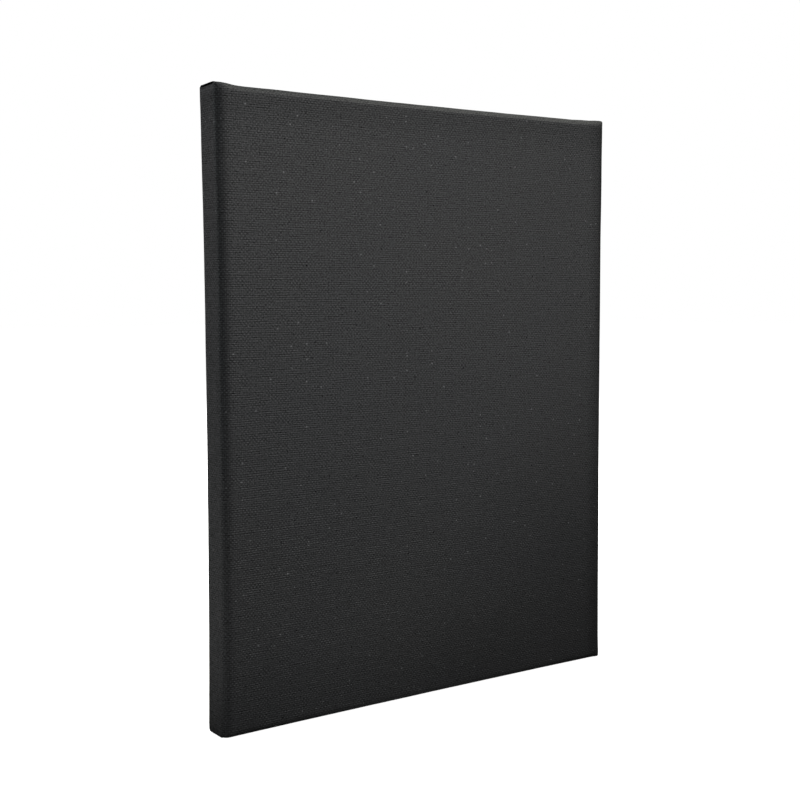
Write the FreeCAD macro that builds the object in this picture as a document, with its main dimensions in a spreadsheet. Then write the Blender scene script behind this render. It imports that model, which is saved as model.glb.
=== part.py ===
import FreeCAD, Part
import Sketcher
import math
import os

# Stretched artist's canvas, 8 x 10 in: primed cotton cloth pulled over a keyed pine stretcher frame.
# Row frame: X across the picture, +Z up, painted face towards -Y, origin at the middle of the lower edge.
# Every bar has the same end joints: at its +X end a tongue in layer P and a wedge slot in layer Q,
# at its -X end a tongue in layer Q and a wedge slot in layer P. Four such bars, each turned by a
# quarter turn about Y from the last, close the frame.

App = FreeCAD
V = App.Vector

doc = App.newDocument("stretched_canvas")
sheet = doc.addObject("Spreadsheet::Sheet", "Sizes")
SIZES = [
    ("canvas_w", 203.2, "width over the cloth"),
    ("canvas_h", 254.0, "height over the folded corners"),
    ("cloth_t", 0.5, "primed cloth thickness"),
    ("fold_t", 0.45, "extra height of the tucked pleat on the top and bottom edges"),
    ("fit_gap", 0.02, "slack between cloth and wood"),
    ("cloth_front_r", 3.9, "outer rounding where the face turns to the side"),
    ("cloth_back_r", 1.2, "outer rounding where the side turns to the back"),
    ("flap_w", 18.0, "cloth turned over the back, from the outer edge"),
    ("ear_w", 11.0, "length of the tucked pleat along the edge"),
    ("bar_t", 13.5, "stretcher bar thickness"),
    ("bar_w", 32.0, "stretcher bar width"),
    ("bead_w", 6.0, "flat bead that carries the cloth"),
    ("bevel_d", 2.2, "fall of the front face from bead to inner edge"),
    ("ease", 0.6, "chamfer on the inner edges"),
    ("end_trim", 0.5, "bar ends held back from the outer face"),
    ("cheek_back", 3.3, "back cheek of the corner joint"),
    ("layer_t", 3.0, "tongue and slot layers P and Q"),
    ("joint_slack", 0.05, "slack of a tongue on each face"),
    ("key_len", 30.0, "wedge key length"),
    ("key_tip", 3.0, "wedge width at the tip"),
    ("key_fat", 11.0, "wedge width at the fat end"),
    ("key_in", 17.0, "depth of the wedge in its slot"),
    ("key_side", 0.05, "slack of the wedge on its straight edge"),
    ("key_seat", 0.1, "slack between wedge and sloping slot end"),
    ("key_face", 0.1, "slack of the wedge on each face"),
    ("key_ease", 0.2, "broken edges of the wedge"),
    ("crown_w", 10.0, "staple crown"),
    ("crown_t", 0.45, "staple wire, through the crown"),
    ("wire_w", 0.8, "staple wire, across the crown"),
    ("leg_len", 8.0, "staple leg"),
    ("bend_r", 0.6, "staple outer bend"),
    ("staple_in", 9.0, "staple row, from the outer edge"),
    ("span_short", 120.0, "first to last staple, top and bottom bars"),
    ("span_long", 168.0, "first to last staple, side bars"),
    ("count_short", 4, "staples on a top or bottom bar"),
    ("count_long", 5, "staples on a side bar"),
    ("corner_u", 12.0, "corner staple, along the diagonal fold"),
    ("corner_v", 2.6, "corner staple, off the diagonal fold"),
]
values = {}
for row, (alias, value, note) in enumerate(SIZES, start=1):
    sheet.set("A%d" % row, str(value))
    sheet.setAlias("A%d" % row, alias)
    sheet.set("B%d" % row, note)
    values[alias] = float(value)
doc.recompute()


def number(expression):
    """The value of an expression of the sheet, for a first placement of sketch geometry."""
    text = expression.replace("Sizes.", "")
    for alias in sorted(values, key=len, reverse=True):
        text = text.replace(alias, repr(values[alias]))
    return _arith(text)


def _arith(text):
    """A small reader for + - * / and brackets, so that no expression is run as code."""
    pos = [0]

    def peek():
        while pos[0] < len(text) and text[pos[0]] == " ":
            pos[0] += 1
        return text[pos[0]] if pos[0] < len(text) else ""

    def atom():
        c = peek()
        if c == "(":
            pos[0] += 1
            v = add()
            peek()
            pos[0] += 1
            return v
        if c == "-":
            pos[0] += 1
            return -atom()
        start = pos[0]
        while pos[0] < len(text) and text[pos[0]] in "0123456789.e":
            pos[0] += 1
        return float(text[start:pos[0]])

    def mul():
        v = atom()
        while peek() in ("*", "/") and peek():
            op = text[pos[0]]
            pos[0] += 1
            w = atom()
            v = v * w if op == "*" else v / w
        return v

    def add():
        v = mul()
        while peek() in ("+", "-") and peek():
            op = text[pos[0]]
            pos[0] += 1
            w = mul()
            v = v + w if op == "+" else v - w
        return v

    return add()


# Sizes that follow from the sheet, as expressions.
DEPTH = "(3*Sizes.cloth_t + 2*Sizes.fit_gap + Sizes.bar_t + Sizes.crown_t)"
Y_FRONT = "(-%s/2)" % DEPTH
Y_BAR_F = "(%s + Sizes.cloth_t + Sizes.fit_gap)" % Y_FRONT
Y_BAR_B = "(%s + Sizes.bar_t)" % Y_BAR_F
Y_FLAP = "(%s + Sizes.fit_gap + Sizes.cloth_t)" % Y_BAR_B
Y_FOLD = "(%s + Sizes.cloth_t)" % Y_FLAP
FRAME_W = "(Sizes.canvas_w - 2*(Sizes.cloth_t + Sizes.fit_gap))"
FRAME_H = "(Sizes.canvas_h - 2*(Sizes.fold_t + Sizes.cloth_t + Sizes.fit_gap))"
Z_BOTTOM = "(Sizes.fold_t + Sizes.cloth_t + Sizes.fit_gap)"
B1 = "(%s - Sizes.cheek_back)" % Y_BAR_B
B2 = "(%s - Sizes.layer_t)" % B1
B3 = "(%s - Sizes.layer_t)" % B2
TAPER = "((Sizes.key_fat - Sizes.key_tip)/Sizes.key_len)"

# Where each bar's own frame sits: its X runs along the bar, its Z from the outer edge inwards.
SIDES = {
    "bottom": (0, "0", Z_BOTTOM, FRAME_W),
    "right": (-90, FRAME_W + "/2", "(%s + %s/2)" % (Z_BOTTOM, FRAME_H), FRAME_H),
    "top": (180, "0", "(%s + %s)" % (Z_BOTTOM, FRAME_H), FRAME_W),
    "left": (90, "-" + FRAME_W + "/2", "(%s + %s/2)" % (Z_BOTTOM, FRAME_H), FRAME_H),
}
parts = []


def origin_plane(body, role):
    return [f for f in body.Origin.OriginFeatures if f.Role == role][0]


def bind(obj, path, expression):
    obj.setExpression(path, expression)


def place(obj, angle, x, z):
    obj.Placement = App.Placement(V(number(x), 0, number(z)), App.Rotation(V(0, 1, 0), angle))
    bind(obj, "Placement.Base.x", x)
    bind(obj, "Placement.Base.z", z)


def outline(sketch, points, first=0):
    """A closed outline whose corner coordinates are each driven by the sheet."""
    n = len(points)
    xy = [(number(a), number(b)) for a, b in points]
    for i in range(n):
        a, b = xy[i], xy[(i + 1) % n]
        sketch.addGeometry(Part.LineSegment(V(a[0], a[1], 0), V(b[0], b[1], 0)), False)
    for i in range(n):
        sketch.addConstraint(Sketcher.Constraint("Coincident", first + i, 2, first + (i + 1) % n, 1))
    for i in range(n):
        for kind, k in (("DistanceX", 0), ("DistanceY", 1)):
            if abs(xy[i][k]) < 1e-9 and points[i][k].strip("()") == "0":
                other = -2 if k == 0 else -1
                sketch.addConstraint(Sketcher.Constraint("PointOnObject", first + i, 1, other))
            else:
                c = sketch.addConstraint(Sketcher.Constraint(kind, -1, 1, first + i, 1, xy[i][k]))
                sketch.setExpression("Constraints[%d]" % c, points[i][k])
    return first + n


def body_sketch(body, name, role, offset, *outlines):
    """offset is the world coordinate of the sketch plane along its axis (the XZ plane faces -Y)."""
    sketch = body.newObject("Sketcher::SketchObject", name)
    sketch.AttachmentSupport = [(origin_plane(body, role), "")]
    sketch.MapMode = "FlatFace"
    sign = "-1*" if role == "XZ_Plane" else ""
    bind(sketch, "AttachmentOffset.Base.z", sign + offset)
    first = 0
    for points in outlines:
        first = outline(sketch, points, first)
    return sketch


def pad(body, name, sketch, length):
    feature = body.newObject("PartDesign::Pad", name)
    feature.Profile = sketch
    bind(feature, "Length", length)
    doc.recompute()
    return feature


def pocket(body, name, sketch, length):
    before = body.Shape.Volume
    feature = body.newObject("PartDesign::Pocket", name)
    feature.Profile = sketch
    bind(feature, "Length", length)
    doc.recompute()
    if not body.Shape.Volume < before - 1e-3:
        raise RuntimeError("%s cut nothing from %s" % (name, body.Label))
    return feature


def edges_at(shape, test):
    return ["Edge%d" % i for i, e in enumerate(shape.Edges, start=1) if test(e)]


def along(e, axis):
    a, b = e.Vertexes[0].Point, e.Vertexes[-1].Point
    d = b.sub(a)
    return d.Length > 1e-6 and abs(abs(d.normalize().dot(axis)) - 1) < 1e-6


def dress(body, kind, name, base, names, size_path, size):
    feature = body.newObject("PartDesign::" + kind, name)
    feature.Base = (base, names)
    bind(feature, size_path, size)
    doc.recompute()
    return feature


def new_body(label):
    body = doc.addObject("PartDesign::Body", label)
    body.Label = label
    parts.append(body)
    return body


def end_x(side, length, e):
    """The bar's own x at distance e from one end."""
    return "(%s/2 - %s)" % (length, e) if side > 0 else "(-%s/2 + %s)" % (length, e)


# --- stretcher bars ---------------------------------------------------------------------------
def stretcher_bar(side_name):
    angle, x, z, length = SIDES[side_name]
    body = new_body("stretcher_bar_" + side_name)
    yf, yb = number(Y_BAR_F), number(Y_BAR_B)
    profile = body_sketch(
        body,
        "bar_profile_" + side_name,
        "YZ_Plane",
        "(-%s/2 + Sizes.end_trim)" % length,
        [
            (Y_BAR_F, "0"),
            (Y_BAR_B, "0"),
            (Y_BAR_B, "Sizes.bar_w"),
            ("(%s + Sizes.bevel_d)" % Y_BAR_F, "Sizes.bar_w"),
            (Y_BAR_F, "Sizes.bead_w"),
        ],
    )
    blank = pad(body, "blank_" + side_name, profile, "(%s - 2*Sizes.end_trim)" % length)

    def near(y, zz):
        return lambda e: (
            along(e, V(1, 0, 0))
            and abs(e.Vertexes[0].Point.y - y) < 1e-4
            and abs(e.Vertexes[0].Point.z - zz) < 1e-4
        )

    w = values["bar_w"]
    f1 = dress(body, "Fillet", "front_round_" + side_name, blank, edges_at(blank.Shape, near(yf, 0)), "Radius", "(Sizes.cloth_front_r - Sizes.cloth_t - Sizes.fit_gap)")
    f2 = dress(body, "Fillet", "back_round_" + side_name, f1, edges_at(f1.Shape, near(yb, 0)), "Radius", "(Sizes.cloth_back_r - Sizes.cloth_t - Sizes.fit_gap)")
    dress(
        body,
        "Chamfer",
        "inner_ease_" + side_name,
        f2,
        edges_at(f2.Shape, lambda e: near(yb, w)(e) or near(yf + values["bevel_d"], w)(e)),
        "Size",
        "Sizes.ease",
    )
    for s, tag in ((1, "a"), (-1, "b")):
        mitre = [
            (end_x(s, length, "(0 - 2)"), "(0 - 2)"),
            (end_x(s, length, "(Sizes.bar_w + 2)"), "(Sizes.bar_w + 2)"),
            (end_x(s, length, "(0 - 2)"), "(Sizes.bar_w + 2)"),
        ]
        slot = [
            (end_x(s, length, "(0 - 2)"), "(0 - 2)"),
            (end_x(s, length, "Sizes.bar_w"), "(0 - 2)"),
            (end_x(s, length, "Sizes.bar_w"), "(Sizes.bar_w - Sizes.key_in - (Sizes.key_tip + Sizes.key_seat + Sizes.key_side)/%s)" % TAPER),
            (end_x(s, length, "(Sizes.bar_w + Sizes.key_tip + Sizes.key_seat + Sizes.key_side + (Sizes.key_in + 2)*%s)" % TAPER), "(Sizes.bar_w + 2)"),
            (end_x(s, length, "(0 - 2)"), "(Sizes.bar_w + 2)"),
        ]
        # The XZ sketch plane faces -Y, so a pocket from it runs towards +Y.
        if s > 0:
            cuts = [
                ("back_mitre", mitre, "(%s - Sizes.joint_slack)" % B1, "(Sizes.cheek_back + Sizes.joint_slack + 1)"),
                ("front_mitre", mitre, "(%s - 1)" % Y_BAR_F, "(%s - %s + 1)" % (B3, Y_BAR_F)),
                ("wedge_slot", slot, B3, "(Sizes.layer_t + Sizes.joint_slack)"),
            ]
        else:
            cuts = [
                ("back_mitre", mitre, B1, "(Sizes.cheek_back + 1)"),
                ("front_mitre", mitre, "(%s - 1)" % Y_BAR_F, "(%s - %s + 1 + Sizes.joint_slack)" % (B3, Y_BAR_F)),
                ("wedge_slot", slot, "(%s - Sizes.joint_slack)" % B2, "(Sizes.layer_t + Sizes.joint_slack)"),
            ]
        for what, points, start, deep in cuts:
            name = "%s_%s_%s" % (what, tag, side_name)
            sk = body_sketch(body, name + "_line", "XZ_Plane", start, points)
            pocket(body, name, sk, deep)
    place(body, angle, x, z)
    return body


# --- wedge keys -------------------------------------------------------------------------------
def wedge_key(label, side_name, s):
    angle, x, z, length = SIDES[side_name]
    body = new_body(label)
    inner = "(Sizes.bar_w + Sizes.key_side)"
    tip_z = "(Sizes.bar_w - Sizes.key_in)"
    fat_z = "(Sizes.bar_w - Sizes.key_in + Sizes.key_len)"
    points = [
        (end_x(s, length, inner), tip_z),
        (end_x(s, length, "(%s + Sizes.key_tip)" % inner), tip_z),
        (end_x(s, length, "(%s + Sizes.key_fat)" % inner), fat_z),
        (end_x(s, length, inner), fat_z),
    ]
    top = "(%s - Sizes.key_face)" % (B2 if s > 0 else B1)
    sk = body_sketch(body, label + "_line", "XZ_Plane", top, points)
    blank = pad(body, label + "_blank", sk, "(Sizes.layer_t - 2*Sizes.key_face)")
    faces = edges_at(blank.Shape, lambda e: not along(e, V(0, 1, 0)))
    dress(body, "Chamfer", label + "_ease", blank, faces, "Size", "Sizes.key_ease")
    place(body, angle, x, z)
    return body


# --- staples ----------------------------------------------------------------------------------
def staple_outline(centre, seat):
    """Seen along the bar's width: crown on the cloth at y = seat, chisel-pointed legs towards -Y."""
    half, t = "Sizes.crown_w/2", "Sizes.crown_t"
    top = "(%s + %s)" % (seat, t)
    tip = "(%s + %s - Sizes.leg_len)" % (seat, t)
    heel = "(%s + 2*%s)" % (tip, t)
    return [
        ("(%s - %s)" % (centre, half), top),
        ("(%s + %s)" % (centre, half), top),
        ("(%s + %s)" % (centre, half), tip),
        ("(%s + %s - %s)" % (centre, half, t), heel),
        ("(%s + %s - %s)" % (centre, half, t), seat),
        ("(%s - %s + %s)" % (centre, half, t), seat),
        ("(%s - %s + %s)" % (centre, half, t), heel),
        ("(%s - %s)" % (centre, half), tip),
    ]


def staple(body, label, centre, seat, z_mid):
    sk = body_sketch(body, label + "_line", "XY_Plane", "(%s - Sizes.wire_w/2)" % z_mid, staple_outline(centre, seat))
    wire = pad(body, label + "_wire", sk, "Sizes.wire_w")
    top = number("(%s + Sizes.crown_t)" % seat)
    bends = edges_at(wire.Shape, lambda e: along(e, V(0, 0, 1)) and abs(e.Vertexes[0].Point.y - top) < 1e-4)
    bent = dress(body, "Fillet", label + "_bend", wire, bends, "Radius", "Sizes.bend_r")
    return sk, wire, bent


def staple_row(side_name):
    angle, x, z, length = SIDES[side_name]
    long_side = side_name in ("left", "right")
    span = "Sizes.span_long" if long_side else "Sizes.span_short"
    count = "Sizes.count_long" if long_side else "Sizes.count_short"
    label = "staples_" + side_name
    body = new_body(label)
    sk, wire, bent = staple(body, label, "(-%s/2)" % span, Y_FLAP, "Sizes.staple_in")
    row = body.newObject("PartDesign::LinearPattern", label + "_row")
    row.Originals = [wire, bent]
    row.Direction = (sk, ["H_Axis"])
    bind(row, "Length", span)
    bind(row, "Occurrences", count)
    body.Tip = row
    doc.recompute()
    place(body, angle, x, z)
    return body


def corner_staple(label, sx, sz):
    """One staple along the diagonal of a back corner fold, on the flap of the top or bottom edge."""
    body = new_body(label)
    staple(body, label, "(0*Sizes.crown_w)", Y_FOLD, "(0*Sizes.crown_w)")
    # The fold runs from the outer corner inwards at 45 degrees; the staple sits just off it.
    r = math.sqrt(0.5)
    u, v = "Sizes.corner_u*%.9f" % r, "Sizes.corner_v*%.9f" % r
    x = "(%d*(Sizes.canvas_w/2 - %s - %s))" % (sx, u, v)
    z = "(Sizes.canvas_h/2 + %d*(Sizes.canvas_h/2 - Sizes.fold_t - %s + %s))" % (sz, u, v)
    place(body, 45 if sx * sz < 0 else -45, x, z)
    return body


# --- cloth ------------------------------------------------------------------------------------
def box(name, size, base):
    b = doc.addObject("Part::Box", name)
    for prop, expression in zip(("Length", "Width", "Height"), size):
        bind(b, prop, expression)
    for axis, expression in zip("xyz", base):
        bind(b, "Placement.Base." + axis, expression)
    doc.recompute()
    return b


def rounded(name, base_box, front_r, back_r):
    """The four long edges of the front rounded by front_r and those of the back by back_r."""
    f = doc.addObject("Part::Fillet", name)
    f.Base = base_box
    bb = base_box.Shape.BoundBox
    picked = []
    for i, e in enumerate(base_box.Shape.Edges, start=1):
        if along(e, V(0, 1, 0)):
            continue
        y = e.Vertexes[0].Point.y
        picked.append((i, front_r if abs(y - bb.YMin) < 1e-4 else back_r))
    f.Edges = [(i, r, r) for i, r in picked]
    doc.recompute()
    return f


def triangles(name, role_rotation, base, outlines, height):
    sk = doc.addObject("Sketcher::SketchObject", name + "_line")
    sk.Placement = App.Placement(V(0, 0, 0), role_rotation)
    for axis, expression in base.items():
        bind(sk, "Placement.Base." + axis, expression)
    first = 0
    for points in outlines:
        first = outline(sk, points, first)
    ex = doc.addObject("Part::Extrusion", name)
    ex.Base = sk
    ex.DirMode = "Normal"
    ex.Solid = True
    bind(ex, "LengthFwd", height)
    doc.recompute()
    return ex


def canvas_cloth():
    outer_h = "(Sizes.canvas_h - 2*Sizes.fold_t)"
    outer = box(
        "cloth_outside",
        ("Sizes.canvas_w", "(%s - %s)" % (Y_FLAP, Y_FRONT), outer_h),
        ("-Sizes.canvas_w/2", Y_FRONT, "Sizes.fold_t"),
    )
    cavity = box(
        "cloth_cavity",
        ("(Sizes.canvas_w - 2*Sizes.cloth_t)", "(Sizes.bar_t + 2*Sizes.fit_gap)", "(%s - 2*Sizes.cloth_t)" % outer_h),
        ("(-Sizes.canvas_w/2 + Sizes.cloth_t)", "(%s + Sizes.cloth_t)" % Y_FRONT, "(Sizes.fold_t + Sizes.cloth_t)"),
    )
    opening = box(
        "cloth_opening",
        ("(Sizes.canvas_w - 2*Sizes.flap_w)", "(Sizes.cloth_t + 2)", "(%s - 2*Sizes.flap_w)" % outer_h),
        ("(-Sizes.canvas_w/2 + Sizes.flap_w)", "(%s - 1)" % Y_BAR_B, "(Sizes.fold_t + Sizes.flap_w)"),
    )
    r, b, t = values["cloth_front_r"], values["cloth_back_r"], values["cloth_t"]
    soft_outer = rounded("cloth_outside_rounded", outer, r, b)
    soft_inner = rounded("cloth_cavity_rounded", cavity, r - t, b - t)
    shell = doc.addObject("Part::Cut", "cloth_shell")
    shell.Base, shell.Tool = soft_outer, soft_inner
    doc.recompute()
    wrapped = doc.addObject("Part::Cut", "cloth_wrapped")
    wrapped.Base, wrapped.Tool = shell, opening
    doc.recompute()
    # Tucked pleats: on the top and bottom edges each grows from the front corner to the back corner.
    half = "Sizes.canvas_w/2"
    y1 = "(%s + Sizes.cloth_front_r)" % Y_FRONT
    y2 = "(%s - Sizes.cloth_back_r)" % Y_FLAP
    pleats = []
    for s in (1, -1):
        pleats.append([
            ("(%d*%s)" % (s, half), y1),
            ("(%d*%s)" % (s, half), y2),
            ("(%d*(%s - Sizes.ear_w))" % (s, half), y2),
        ])
    flat = App.Rotation()
    top = triangles("pleats_top", flat, {"z": "(Sizes.canvas_h - Sizes.fold_t)"}, pleats, "Sizes.fold_t")
    low = triangles("pleats_bottom", flat, {"z": "0*Sizes.canvas_h"}, pleats, "Sizes.fold_t")
    # Folded corners on the back: the top and bottom flaps end in a 45 degree fold over the side flaps.
    lo, hi = "(Sizes.fold_t + Sizes.cloth_back_r)", "(Sizes.canvas_h - Sizes.fold_t - Sizes.cloth_back_r)"
    deep = "(Sizes.flap_w - Sizes.cloth_back_r)"
    folds = []
    for s in (1, -1):
        cx = "(%s - Sizes.cloth_back_r)" % half
        for edge, sign in ((hi, "-"), (lo, "+")):
            folds.append([
                ("(%d*%s)" % (s, cx), edge),
                ("(%d*(%s - %s))" % (s, cx, deep), edge),
                ("(%d*(%s - %s))" % (s, cx, deep), "(%s %s %s)" % (edge, sign, deep)),
            ])
    # The sketch plane is turned so that its normal is +Y: sketch x is -X, which the symmetric outlines allow.
    back = App.Rotation(V(-1, 0, 0), V(0, 0, 1), V(0, 1, 0), "ZXY")
    fold = triangles("folds_back", back, {"y": Y_FLAP}, folds, "Sizes.cloth_t")
    cloth = doc.addObject("Part::MultiFuse", "canvas_cloth")
    cloth.Shapes = [wrapped, top, low, fold]
    cloth.Refine = True
    cloth.Label = "canvas_cloth"
    doc.recompute()
    parts.append(cloth)
    return cloth


canvas_cloth()
for name in SIDES:
    stretcher_bar(name)
# A wedge at a bar's +X end stands in its Q slot, one at its -X end in its P slot.
wedge_key("key_bottom_right_upright", "bottom", 1)
wedge_key("key_bottom_left_upright", "bottom", -1)
wedge_key("key_top_right_level", "right", 1)
wedge_key("key_bottom_right_level", "right", -1)
wedge_key("key_top_left_upright", "top", 1)
wedge_key("key_top_right_upright", "top", -1)
wedge_key("key_bottom_left_level", "left", 1)
wedge_key("key_top_left_level", "left", -1)
for name in SIDES:
    staple_row(name)
for vertical, sz in (("top", 1), ("bottom", -1)):
    for horizontal, sx in (("left", -1), ("right", 1)):
        corner_staple("corner_staple_%s_%s" % (vertical, horizontal), sx, sz)

doc.recompute()
for obj in doc.Objects:
    if "Invalid" in obj.State or "Error" in obj.State:
        raise RuntimeError("%s did not build: %s" % (obj.Label, obj.State))
for part in parts:
    if part.Shape.isNull() or not part.Shape.isValid() or not part.Shape.Solids:
        raise RuntimeError("%s has no valid solid" % part.Label)
os.makedirs("parts", exist_ok=True)
for part in parts:
    part.Shape.exportStep("parts/%s.step" % part.Label)
    b = part.Shape.BoundBox
    print("%-28s solids %2d  x %8.2f %8.2f  y %7.3f %7.3f  z %8.2f %8.2f" % (part.Label, len(part.Shape.Solids), b.XMin, b.XMax, b.YMin, b.YMax, b.ZMin, b.ZMax))
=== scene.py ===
"""Stretched artist's canvas, 8 x 10 in: black primed cotton over a keyed pine stretcher frame.

Every length below is in millimetres in the row frame (X across the picture, painted face towards -Y, +Z up) and is
turned into metres when a mesh is made. The cloth is two layers wrapped round the CAD bars: the black primed face with
its pleated corners and folded back corners, and the bare cotton behind it.
"""

import math

import bpy
import numpy as np
from mathutils import Matrix, Vector


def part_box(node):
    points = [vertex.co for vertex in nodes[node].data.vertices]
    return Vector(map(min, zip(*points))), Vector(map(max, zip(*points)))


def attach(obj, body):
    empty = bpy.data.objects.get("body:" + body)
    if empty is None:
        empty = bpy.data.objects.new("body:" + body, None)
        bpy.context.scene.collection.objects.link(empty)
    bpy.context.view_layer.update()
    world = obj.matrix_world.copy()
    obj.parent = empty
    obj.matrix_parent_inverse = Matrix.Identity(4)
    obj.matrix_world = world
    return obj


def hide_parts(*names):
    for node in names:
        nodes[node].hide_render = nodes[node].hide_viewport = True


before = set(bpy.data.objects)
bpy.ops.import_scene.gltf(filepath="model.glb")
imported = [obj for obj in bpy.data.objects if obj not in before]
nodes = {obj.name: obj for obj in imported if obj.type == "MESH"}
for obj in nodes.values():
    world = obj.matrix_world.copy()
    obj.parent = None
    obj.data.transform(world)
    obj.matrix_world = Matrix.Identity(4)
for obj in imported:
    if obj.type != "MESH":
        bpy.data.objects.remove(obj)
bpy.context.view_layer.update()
BODY = "stretched_frame"
MM = 0.001


def mm_box(node):
    lo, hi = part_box(node)
    return np.array(lo) * 1000, np.array(hi) * 1000


cloth_lo, cloth_hi = mm_box("canvas_cloth")
bar_lo, bar_hi = mm_box("stretcher_bar_left")
bottom_lo, bottom_hi = mm_box("stretcher_bar_bottom")
top_lo, top_hi = mm_box("stretcher_bar_top")
crown_lo, crown_hi = mm_box("staples_left")

MID_Z = (cloth_lo[2] + cloth_hi[2]) / 2
HALF_H = (cloth_hi[2] - cloth_lo[2]) / 2
HALF_W = (cloth_hi[0] - cloth_lo[0]) / 2
BAR_X = -bar_lo[0]  # outer faces of the side bars
BAR_TOP, BAR_BOTTOM = top_hi[2], bottom_lo[2]
BAR_FRONT, BAR_BACK = bar_lo[1], bar_hi[1]
Y_FACE = cloth_lo[1]
Y_FLAP = crown_hi[1] - 0.45  # underside of the staple crowns
CLOTH = 0.37  # both layers
PRIMED = 0.22


# ---------------------------------------------------------------------------------------------
# small numeric tools
# ---------------------------------------------------------------------------------------------
def smooth(a, b, x):
    t = np.clip((np.asarray(x, float) - a) / (b - a), 0, 1)
    return t * t * (3 - 2 * t)


def waves(seed, n, low, high):
    """A smooth random function of one variable, of about unit size: wavelengths from low to high mm."""
    rng = np.random.default_rng(seed)
    lam = np.exp(rng.uniform(np.log(low), np.log(high), n))
    phase = rng.uniform(0, 2 * np.pi, n)
    amp = rng.uniform(0.5, 1.0, n) * (lam / high) ** 0.5
    amp = amp / np.sqrt((amp**2).sum() / 2)
    return lambda x: (np.sin(np.asarray(x, float)[..., None] * 2 * np.pi / lam + phase) * amp).sum(-1) * 0.7


def waves2(seed, n, low, high):
    """The same in two variables."""
    rng = np.random.default_rng(seed)
    lam = np.exp(rng.uniform(np.log(low), np.log(high), n))
    turn = rng.uniform(0, 2 * np.pi, n)
    phase = rng.uniform(0, 2 * np.pi, n)
    amp = rng.uniform(0.5, 1.0, n) * (lam / high)
    amp = amp / np.sqrt((amp**2).sum() / 2)
    kx, ky = 2 * np.pi / lam * np.cos(turn), 2 * np.pi / lam * np.sin(turn)

    def f(x, y):
        out = 0.0
        for i in range(n):
            out = out + amp[i] * np.sin(x * kx[i] + y * ky[i] + phase[i])
        return out * 0.7

    return f


def make_mesh(name, co, faces, smooth_faces=True, uv=None, uv_name="OFBake", attributes=None, face_material=None):
    """A mesh object from millimetre points, faces as lists of corner indices."""
    me = bpy.data.meshes.new(name)
    me.from_pydata((np.asarray(co, float) * MM).tolist(), [], [list(map(int, f)) for f in faces])
    me.update()
    me.polygons.foreach_set("use_smooth", np.full(len(me.polygons), smooth_faces, bool))
    if uv is not None:
        layer = me.uv_layers.new(name=uv_name)
        loops = np.zeros(len(me.loops), np.int32)
        me.loops.foreach_get("vertex_index", loops)
        layer.data.foreach_set("uv", np.asarray(uv, np.float32)[loops].ravel())
    for key, (kind, values) in (attributes or {}).items():
        a = me.attributes.new(key, kind, "POINT")
        if kind == "FLOAT_VECTOR":
            a.data.foreach_set("vector", np.asarray(values, np.float32).ravel())
        else:
            a.data.foreach_set("value", np.asarray(values, np.float32).ravel())
    if face_material is not None:
        me.polygons.foreach_set("material_index", np.asarray(face_material, np.int32))
    me.validate(clean_customdata=False)
    ob = bpy.data.objects.new(name, me)
    bpy.context.scene.collection.objects.link(ob)
    return ob


# ---------------------------------------------------------------------------------------------
# node graphs
# ---------------------------------------------------------------------------------------------
class Sock:
    """A value in a node graph, with arithmetic."""

    def __init__(self, graph, socket):
        self.g, self.s = graph, socket

    def __add__(self, o):
        return self.g.m("ADD", self, o)

    __radd__ = __add__

    def __sub__(self, o):
        return self.g.m("SUBTRACT", self, o)

    def __rsub__(self, o):
        return self.g.m("SUBTRACT", o, self)

    def __mul__(self, o):
        return self.g.m("MULTIPLY", self, o)

    __rmul__ = __mul__

    def __truediv__(self, o):
        return self.g.m("DIVIDE", self, o)

    def __neg__(self):
        return self.g.m("MULTIPLY", self, -1.0)


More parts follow.
